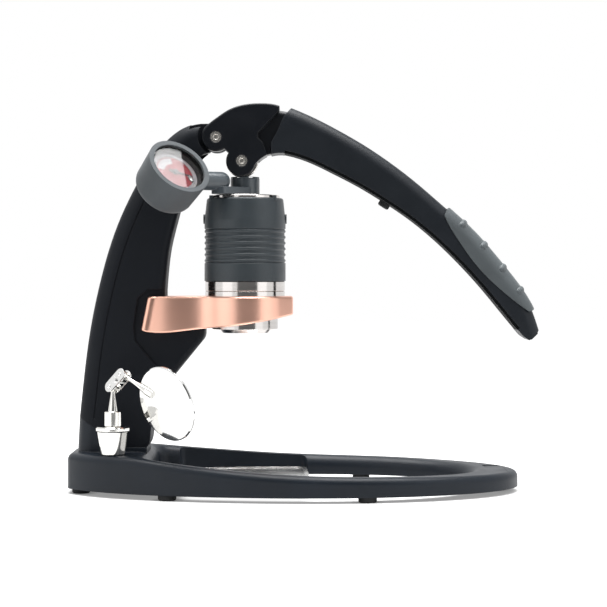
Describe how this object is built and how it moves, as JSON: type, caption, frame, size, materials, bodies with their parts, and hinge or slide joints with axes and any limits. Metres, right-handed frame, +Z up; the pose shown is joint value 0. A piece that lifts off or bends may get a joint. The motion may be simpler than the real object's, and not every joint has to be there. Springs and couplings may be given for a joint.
{
  "type": "lever espresso machine",
  "caption": "Hand lever press for espresso: curved post on a ring base, brew cylinder in a ribbed sleeve, hinged lever over a plunger, pressure gauge and tilting shot mirror.",
  "frame": {"origin": "middle of the overall box at its foot, on the surface the feet stand on", "axes": "+X to the front, the way the lever points, +Z up, gauge and mirror on the -Y side"},
  "size_m": [0.3151, 0.152, 0.2604],
  "materials": {
    "base_black": "satin black powder coat",
    "post_black": "satin black powder coat",
    "lever_black": "satin black powder coat",
    "copper_tone": "copper coloured, fine grain",
    "steel_satin": "satin",
    "steel_polished": "polished",
    "tray_steel": "linen texture",
    "bolt_steel": "black oxide",
    "sleeve_rubber": "matt",
    "grip_rubber": "matt",
    "foot_rubber": "matt",
    "boot_rubber": "matt",
    "seal_rubber": "matt",
    "strip_plastic": "matt",
    "gauge_black": "satin",
    "dial_white": "matt",
    "needle_dark": "satin",
    "brass": "plain",
    "glass": "clear",
    "mirror": "silvered"
  },
  "bodies": {
    "frame": {"base_ring": "base_black", "base_feet": "foot_rubber", "post": "post_black", "post_bolts": "bolt_steel", "pivot_bush": "brass", "portafilter_bracket": "copper_tone", "bracket_bolts": "bolt_steel", "portafilter_cup": "steel_satin", "filter_basket": "steel_satin", "dispersion_screen": "steel_satin", "cylinder_gasket": "seal_rubber", "brew_cylinder": "steel_satin", "cylinder_collar": "steel_satin", "cylinder_sleeve": "sleeve_rubber", "cylinder_cap": "steel_satin"},
    "tray": {"drip_tray": "tray_steel"},
    "lever": {"lever_head": "lever_black", "lever_handle": "lever_black", "handle_strip": "strip_plastic", "handle_grip": "grip_rubber", "handle_screws": "bolt_steel", "tip_bumper": "foot_rubber", "rest_bumper": "foot_rubber", "pivot_pin": "steel_polished", "pivot_screw": "steel_polished", "presser_pin": "steel_polished", "presser_screw": "steel_polished"},
    "roller": {"presser_roller": "steel_satin", "roller_bush": "brass"},
    "plunger": {"piston": "steel_satin", "piston_seals": "seal_rubber", "plunger_stem": "steel_satin", "plunger_cap": "strip_plastic"},
    "gauge_arm": {"gauge_elbow": "boot_rubber", "gauge_boot": "boot_rubber", "gauge_case": "steel_satin", "gauge_lens": "glass", "gauge_bezel": "gauge_black", "gauge_dial": "dial_white", "gauge_movement": "brass", "pressure_tube": "brass"},
    "needle": {"gauge_needle": "needle_dark"},
    "mirror_stand": {"mirror_foot": "steel_polished", "mirror_magnet": "bolt_steel", "mirror_column": "steel_polished"},
    "mirror_clamp": {"clamp_plate_near": "steel_polished", "clamp_plate_far": "steel_polished", "clamp_screw": "steel_polished"},
    "mirror_head": {"mirror_arm": "steel_polished", "mirror_back": "steel_polished", "mirror_glass": "mirror"}
  },
  "joints": [
    {"name": "lever_pivot", "type": "hinge", "parent": "frame", "child": "lever", "pos_m": [-0.0587, 0, 0.2378], "axis": [0, -1, 0], "range_deg": [0, 72]},
    {"name": "roller_spin", "type": "hinge", "parent": "lever", "child": "roller", "pos_m": [-0.0414, 0, 0.2218], "axis": [0, -1, 0], "continuous": true},
    {"name": "plunger_slide", "type": "slide", "parent": "frame", "child": "plunger", "axis": [0, 0, 1], "range_m": [0, 0.022]},
    {"name": "tray_lift", "type": "slide", "parent": "frame", "child": "tray", "axis": [0, 0, 1], "range_m": [0, 0.02]},
    {"name": "gauge_swivel", "type": "hinge", "parent": "plunger", "child": "gauge_arm", "pos_m": [-0.0395, 0, 0.205], "axis": [0, 0, 1], "range_deg": [0, 70]},
    {"name": "needle_turn", "type": "hinge", "parent": "gauge_arm", "child": "needle", "pos_m": [-0.0804, -0.05, 0.216], "axis": [-0.4908, 0.6211, -0.611], "range_deg": [0, 270], "stiffness_Nm_per_rad": 0.0002, "springref_deg": -17.19},
    {"name": "mirror_swivel", "type": "hinge", "parent": "frame", "child": "mirror_stand", "pos_m": [-0.1252, -0.035, 0.03], "axis": [0, 0, 1], "range_deg": [-100, 5]},
    {"name": "mirror_clamp_tilt", "type": "hinge", "parent": "mirror_stand", "child": "mirror_clamp", "pos_m": [-0.1252, -0.035, 0.0716], "axis": [-0.6045, -0.7556, 0.2522], "range_deg": [-8, 25]},
    {"name": "mirror_arm_tilt", "type": "hinge", "parent": "mirror_clamp", "child": "mirror_head", "pos_m": [-0.11798, -0.03807, 0.07969], "axis": [-0.6045, -0.7556, 0.2522], "range_deg": [-8, 35]}
  ],
  "couplings": [
    {"joint": "plunger_slide", "follows": "lever_pivot", "m_per_rad": 0.0174}
  ]
}
